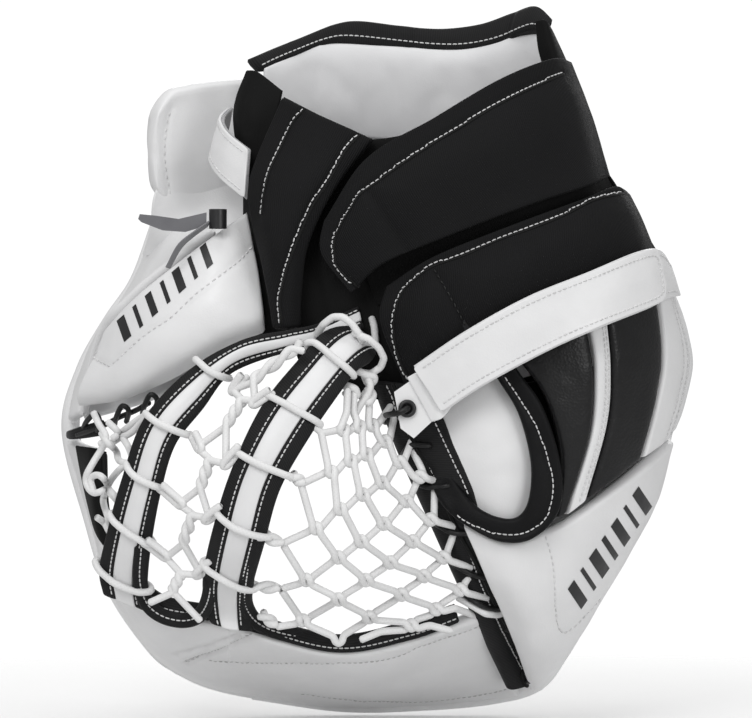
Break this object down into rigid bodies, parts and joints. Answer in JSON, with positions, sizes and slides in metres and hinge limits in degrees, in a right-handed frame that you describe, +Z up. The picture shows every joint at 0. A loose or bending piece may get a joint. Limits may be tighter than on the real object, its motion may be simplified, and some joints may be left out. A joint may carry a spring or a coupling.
{
  "type": "goalie catch glove",
  "caption": "Ice hockey goalie catching glove for the left hand: padded thumb and finger panels around a laced pocket net, with a wrist cuff and a backhand strap.",
  "frame": {"origin": "middle of the wrist opening, where the forearm enters", "axes": "+Z up the forearm, fingers point to -Z, +X from the thumb towards the little finger, the pocket opens to +Y"},
  "size_m": [0.4009, 0.2069, 0.4459],
  "materials": {
    "white_leather": "smooth synthetic leather",
    "lining_fabric": "soft brushed lining",
    "black_leather": "glossy pebbled grain",
    "black_nylon": "ribbed woven nylon",
    "black_binding": "folded edge binding",
    "white_lace": "round waxed lace",
    "black_lace": "rawhide lace",
    "gray_felt": "felt and hook-and-loop pile",
    "foam": "closed-cell foam",
    "stiffener_plastic": "thin board",
    "black_plastic": "moulded",
    "eyelet_metal": "black enamel"
  },
  "bodies": {
    "palm": {"palm_panel": "white_leather", "palm_stiffener": "stiffener_plastic", "palm_felt": "gray_felt", "palm_crease": "white_leather", "finger_back_panel": "white_leather", "finger_side_wall": "white_leather", "finger_cover": "black_leather", "finger_stripes": "white_leather", "finger_tongue": "white_leather", "finger_opening_binding": "black_binding", "index_edge_binding": "black_binding", "index_edge_lace": "black_lace", "finger_stalls": "black_nylon", "backhand_pad_cover": "black_nylon", "backhand_pad_foam": "foam", "wrist_wing": "black_nylon", "wrist_gusset": "black_nylon", "wrist_liner": "black_nylon", "strap_base": "white_leather", "strap_loop_pile": "gray_felt", "strap_anchor": "white_leather", "anchor_eyelet": "eyelet_metal", "anchor_lace": "black_lace", "wrist_strap": "white_leather", "wrist_strap_felt": "gray_felt", "pull_tab_ring": "black_plastic", "pocket_strap_finger_side": "black_nylon", "net_middle": "white_lace", "net_finger_side": "white_lace", "rim_band_finger_side": "white_leather", "rim_band_gusset": "white_leather", "band_binding_finger_side": "black_binding", "rim_bead_finger_side": "white_leather"},
    "wrist_pad": {"wrist_pad_cover": "black_nylon", "wrist_pad_foam": "foam"},
    "strap_flap": {"strap_flap": "white_leather", "strap_hook_pile": "gray_felt"},
    "thumb": {"thumb_back_panel": "white_leather", "thumb_side_panel": "white_leather", "thumb_inner_panel": "white_leather", "thumb_foam": "foam", "thumb_stall": "black_nylon", "thumb_tip_binding": "black_binding", "pocket_strap_thumb_side": "black_nylon", "net_thumb_side": "white_lace", "rim_band_thumb_side": "white_leather", "band_binding_thumb_side": "black_binding", "rim_bead_thumb_side": "white_leather"},
    "cuff": {"cuff_lining": "lining_fabric", "cuff_foam": "foam", "cuff_shield": "white_leather", "cuff_binding": "black_binding", "cuff_side_gusset": "black_nylon"},
    "pull_tab": {"pull_tab": "gray_felt"}
  },
  "joints": [
    {"name": "thumb_fold", "type": "hinge", "parent": "palm", "child": "thumb", "pos_m": [-0.106, 0.02, -0.33], "axis": [-0.2, 0, -0.9798], "range_deg": [-8, 25], "deforming": ["palm_crease", "net_middle", "rim_band_gusset"]},
    {"name": "cuff_flex", "type": "hinge", "parent": "palm", "child": "cuff", "pos_m": [0, 0.07, -0.03], "axis": [1, 0, 0], "range_deg": [-20, 8]},
    {"name": "wrist_pad_lift", "type": "hinge", "parent": "palm", "child": "wrist_pad", "pos_m": [0.116, -0.018, 0.005], "axis": [-0.3102, 0, 0.9507], "range_deg": [0, 35]},
    {"name": "strap_peel", "type": "hinge", "parent": "palm", "child": "strap_flap", "pos_m": [0.018, -0.066, -0.163], "axis": [0.5, 0, -0.866], "range_deg": [0, 120]},
    {"name": "pull_tab_swing", "type": "hinge", "parent": "palm", "child": "pull_tab", "pos_m": [-0.112, -0.024, -0.055], "axis": [0, 0, 1], "range_deg": [-25, 40]}
  ]
}
